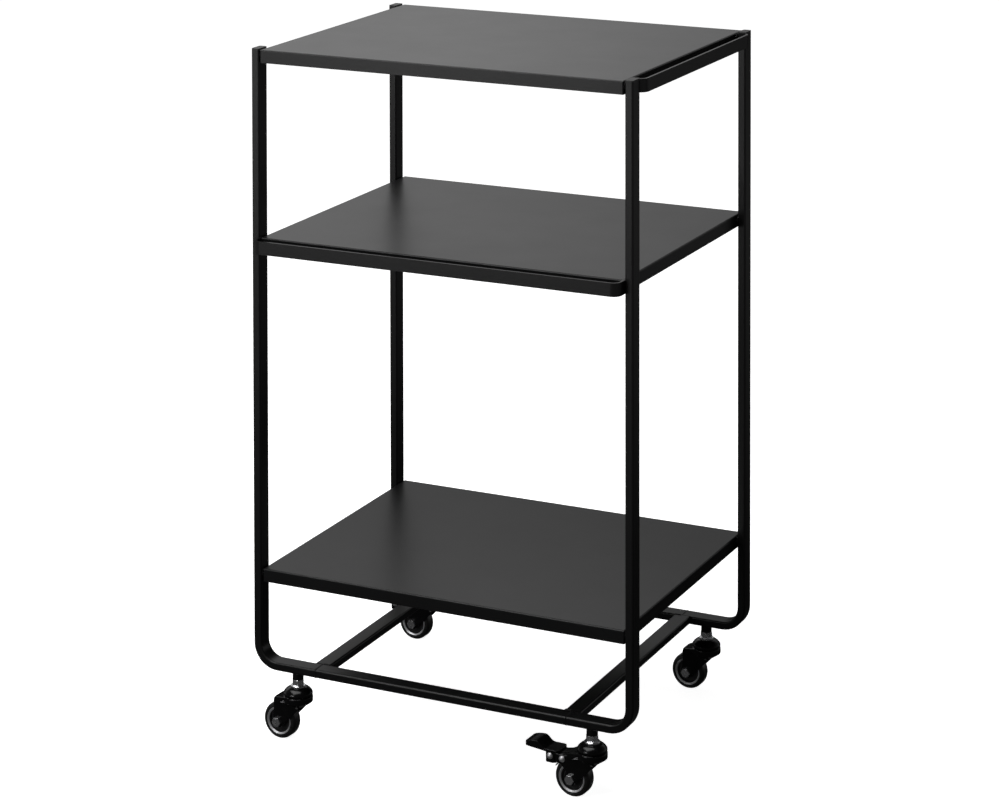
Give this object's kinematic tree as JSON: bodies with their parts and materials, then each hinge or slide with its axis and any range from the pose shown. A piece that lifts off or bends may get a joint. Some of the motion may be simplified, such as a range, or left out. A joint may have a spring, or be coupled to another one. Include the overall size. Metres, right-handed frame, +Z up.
{
  "type": "rolling shelf cart",
  "caption": "Tall rolling shelf cart: flat sheet-metal shelves in a bent flat-tube frame, with a side handle bar, a front guard bar and swivel casters, some with a foot brake.",
  "frame": {"origin": "on the floor, under the middle of the cart's whole outline, which takes in the front guard, the side handle and the casters", "axes": "+X is the cart's right, the side with the handle bar; +Y is its back; +Z is up"},
  "size_m": [0.518, 0.3926, 0.816],
  "materials": {
    "powder_coat": "satin black powder coat with a fine even texture",
    "caster_black": "semi-gloss black paint on pressed steel",
    "black_plastic": "moulded, fine matt texture",
    "tyre_rubber": "smooth moulded tread, matt",
    "zinc_plate": "bright zinc plating",
    "rim_metal": "satin metal band",
    "spring_steel": "plain spring steel",
    "bearing_steel": "polished balls"
  },
  "bodies": {
    "cart_frame": {"front_left_post": "powder_coat", "front_right_post": "powder_coat", "back_left_post": "powder_coat", "back_right_post": "powder_coat", "front_middle_rail": "powder_coat", "back_middle_rail": "powder_coat", "left_cross_rail": "powder_coat", "right_cross_rail": "powder_coat", "post_caps": "black_plastic", "rail_connectors": "zinc_plate", "rail_connector_screws": "zinc_plate", "caster_bosses": "powder_coat", "top_shelf": "powder_coat", "middle_shelf": "powder_coat", "bottom_shelf": "powder_coat", "shelf_screws": "zinc_plate", "post_rivet_nuts": "zinc_plate", "side_handle_bar": "powder_coat", "front_guard_bar": "powder_coat", "caster_stems": "zinc_plate", "caster_jam_nuts": "zinc_plate", "caster_washers": "zinc_plate", "swivel_caps": "caster_black", "swivel_balls": "bearing_steel"},
    "front_left_swivel": {"front_left_fork": "caster_black", "front_left_axle_bolt": "zinc_plate", "front_left_axle_nut": "zinc_plate", "front_left_axle_bush": "zinc_plate"},
    "front_left_wheel": {"front_left_wheel_hub": "black_plastic", "front_left_wheel_rim": "rim_metal", "front_left_tyre": "tyre_rubber"},
    "front_right_swivel": {"front_right_fork": "caster_black", "front_right_axle_bolt": "zinc_plate", "front_right_axle_nut": "zinc_plate", "front_right_axle_bush": "zinc_plate", "front_right_brake_rivets": "zinc_plate"},
    "front_right_wheel": {"front_right_wheel_hub": "black_plastic", "front_right_wheel_rim": "rim_metal", "front_right_tyre": "tyre_rubber"},
    "front_right_pedal": {"front_right_brake_pedal": "caster_black"},
    "front_right_shoe": {"front_right_brake_shoe": "spring_steel"},
    "back_left_swivel": {"back_left_fork": "caster_black", "back_left_axle_bolt": "zinc_plate", "back_left_axle_nut": "zinc_plate", "back_left_axle_bush": "zinc_plate", "back_left_brake_rivets": "zinc_plate"},
    "back_left_wheel": {"back_left_wheel_hub": "black_plastic", "back_left_wheel_rim": "rim_metal", "back_left_tyre": "tyre_rubber"},
    "back_left_pedal": {"back_left_brake_pedal": "caster_black"},
    "back_left_shoe": {"back_left_brake_shoe": "spring_steel"},
    "back_right_swivel": {"back_right_fork": "caster_black", "back_right_axle_bolt": "zinc_plate", "back_right_axle_nut": "zinc_plate", "back_right_axle_bush": "zinc_plate"},
    "back_right_wheel": {"back_right_wheel_hub": "black_plastic", "back_right_wheel_rim": "rim_metal", "back_right_tyre": "tyre_rubber"}
  },
  "joints": [
    {"name": "front_left_caster_swivel", "type": "hinge", "parent": "cart_frame", "child": "front_left_swivel", "pos_m": [-0.17908, -0.1676, 0.05], "axis": [0, 0, 1], "continuous": true},
    {"name": "front_left_wheel_spin", "type": "hinge", "parent": "front_left_swivel", "child": "front_left_wheel", "pos_m": [-0.20106, -0.16645, 0.0215], "axis": [-0.0523, -0.9986, 0], "continuous": true},
    {"name": "front_right_caster_swivel", "type": "hinge", "parent": "cart_frame", "child": "front_right_swivel", "pos_m": [0.19892, -0.1676, 0.05], "axis": [0, 0, 1], "continuous": true},
    {"name": "front_right_wheel_spin", "type": "hinge", "parent": "front_right_swivel", "child": "front_right_wheel", "pos_m": [0.17694, -0.16645, 0.0215], "axis": [-0.0523, -0.9986, 0], "continuous": true},
    {"name": "front_right_brake_pedal_tilt", "type": "hinge", "parent": "front_right_swivel", "child": "front_right_pedal", "pos_m": [0.15158, -0.16512, 0.0435], "axis": [-0.0523, -0.9986, 0], "range_deg": [0, 25]},
    {"name": "front_right_brake_shoe_tilt", "type": "hinge", "parent": "front_right_swivel", "child": "front_right_shoe", "pos_m": [0.16616, -0.16588, 0.0423], "axis": [-0.0523, -0.9986, 0], "range_deg": [0, 2.5]},
    {"name": "back_left_caster_swivel", "type": "hinge", "parent": "cart_frame", "child": "back_left_swivel", "pos_m": [-0.17908, 0.1784, 0.05], "axis": [0, 0, 1], "continuous": true},
    {"name": "back_left_wheel_spin", "type": "hinge", "parent": "back_left_swivel", "child": "back_left_wheel", "pos_m": [-0.20106, 0.17955, 0.0215], "axis": [-0.0523, -0.9986, 0], "continuous": true},
    {"name": "back_left_brake_pedal_tilt", "type": "hinge", "parent": "back_left_swivel", "child": "back_left_pedal", "pos_m": [-0.22642, 0.18088, 0.0435], "axis": [-0.0523, -0.9986, 0], "range_deg": [0, 25]},
    {"name": "back_left_brake_shoe_tilt", "type": "hinge", "parent": "back_left_swivel", "child": "back_left_shoe", "pos_m": [-0.21184, 0.18012, 0.0423], "axis": [-0.0523, -0.9986, 0], "range_deg": [0, 2.5]},
    {"name": "back_right_caster_swivel", "type": "hinge", "parent": "cart_frame", "child": "back_right_swivel", "pos_m": [0.19892, 0.1784, 0.05], "axis": [0, 0, 1], "continuous": true},
    {"name": "back_right_wheel_spin", "type": "hinge", "parent": "back_right_swivel", "child": "back_right_wheel", "pos_m": [0.17694, 0.17955, 0.0215], "axis": [-0.0523, -0.9986, 0], "continuous": true}
  ],
  "couplings": [
    {"joint": "front_right_brake_shoe_tilt", "follows": "front_right_brake_pedal_tilt", "ratio": 0.1},
    {"joint": "back_left_brake_shoe_tilt", "follows": "back_left_brake_pedal_tilt", "ratio": 0.1}
  ]
}
